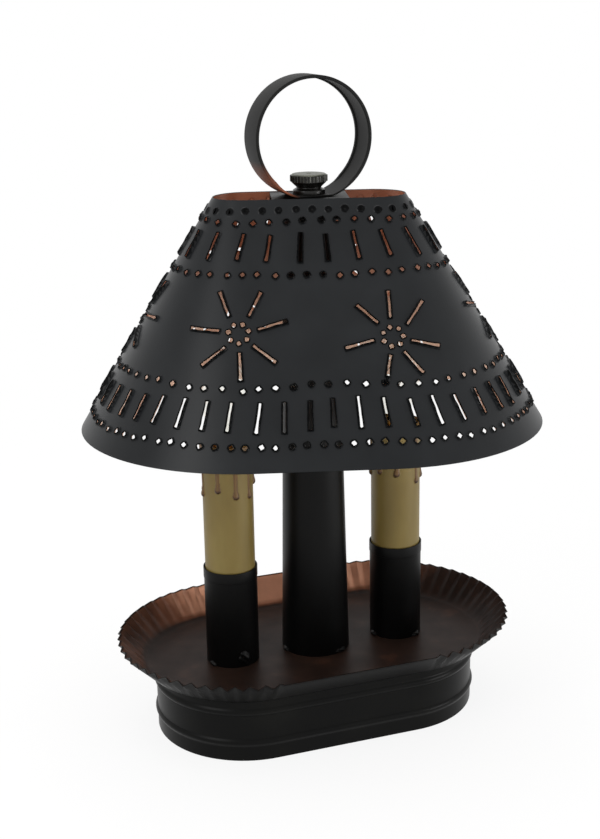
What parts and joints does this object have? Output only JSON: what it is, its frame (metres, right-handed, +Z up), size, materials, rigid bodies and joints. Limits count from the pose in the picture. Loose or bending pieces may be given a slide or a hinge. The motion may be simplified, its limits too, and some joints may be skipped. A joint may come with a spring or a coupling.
{
  "type": "accent lamp",
  "caption": "Table lamp with candle-style lights on an oblong crimped tray base, a tapered centre column and a punched oblong tin shade topped by a ring handle and a knurled finial.",
  "frame": {"origin": "on the surface the lamp stands on, at the middle of the base, on the column's axis", "axes": "+Z up along the column, +X along the base's long axis through the candles, front towards -Y"},
  "size_m": [0.1978, 0.1606, 0.2839],
  "materials": {
    "black_tin": "satin black outside, copper coloured inside",
    "plain_steel": "plain zinc plated",
    "felt": "dark felt",
    "black_plastic": "matt",
    "aged_bronze": "aged, near black in the knurl",
    "candle_wax": "wax coloured with brown drips",
    "brass": "bright",
    "clear_glass": "clear",
    "lead_insulation": "soft insulation",
    "connector_plastic": "matt"
  },
  "bodies": {
    "base": {"base_can": "black_tin", "bottom_plate": "plain_steel", "felt_pad": "felt", "cord_bushing": "black_plastic", "drip_tray": "black_tin", "tie_rod": "plain_steel", "rod_washer": "plain_steel", "rod_nut": "plain_steel", "centre_column": "black_tin", "column_cap": "plain_steel", "nipple_washers": "plain_steel", "nipple_nuts": "plain_steel", "socket_screws": "plain_steel", "wire_connectors": "connector_plastic", "left_candle_cup": "black_tin", "right_candle_cup": "black_tin", "left_nipple": "plain_steel", "right_nipple": "plain_steel", "left_socket_leg": "plain_steel", "right_socket_leg": "plain_steel", "left_socket_body": "black_plastic", "right_socket_body": "black_plastic", "left_screw_shell": "brass", "right_screw_shell": "brass", "left_centre_contact": "brass", "right_centre_contact": "brass", "left_socket_leads": "lead_insulation", "right_socket_leads": "lead_insulation"},
    "shade": {"shade_skin": "black_tin", "shade_strap": "black_tin"},
    "handle": {"ring_handle": "black_tin"},
    "finial": {"finial": "aged_bronze"},
    "left_sleeve": {"left_candle_sleeve": "candle_wax"},
    "left_bulb": {"left_bulb_cap": "brass", "left_bulb_glass": "clear_glass", "left_bulb_stem": "clear_glass"},
    "right_sleeve": {"right_candle_sleeve": "candle_wax"},
    "right_bulb": {"right_bulb_cap": "brass", "right_bulb_glass": "clear_glass", "right_bulb_stem": "clear_glass"}
  },
  "joints": [
    {"name": "shade_turn", "type": "hinge", "parent": "base", "child": "shade", "pos_m": [0, 0, 0.23465], "axis": [0, 0, 1], "continuous": true},
    {"name": "handle_turn", "type": "hinge", "parent": "base", "child": "handle", "pos_m": [0, 0, 0.23545], "axis": [0, 0, 1], "continuous": true},
    {"name": "finial_turn", "type": "hinge", "parent": "base", "child": "finial", "pos_m": [0, 0, 0.23545], "axis": [0, 0, 1], "range_deg": [0, 1980]},
    {"name": "left_sleeve_lift", "type": "slide", "parent": "base", "child": "left_sleeve", "axis": [0, 0, 1], "range_m": [0, 0.007]},
    {"name": "left_bulb_turn", "type": "hinge", "parent": "base", "child": "left_bulb", "pos_m": [-0.0395, 0, 0.14], "axis": [0, 0, 1], "range_deg": [0, 1260]},
    {"name": "right_sleeve_lift", "type": "slide", "parent": "base", "child": "right_sleeve", "axis": [0, 0, 1], "range_m": [0, 0.007]},
    {"name": "right_bulb_turn", "type": "hinge", "parent": "base", "child": "right_bulb", "pos_m": [0.0395, 0, 0.14], "axis": [0, 0, 1], "range_deg": [0, 1260]}
  ]
}
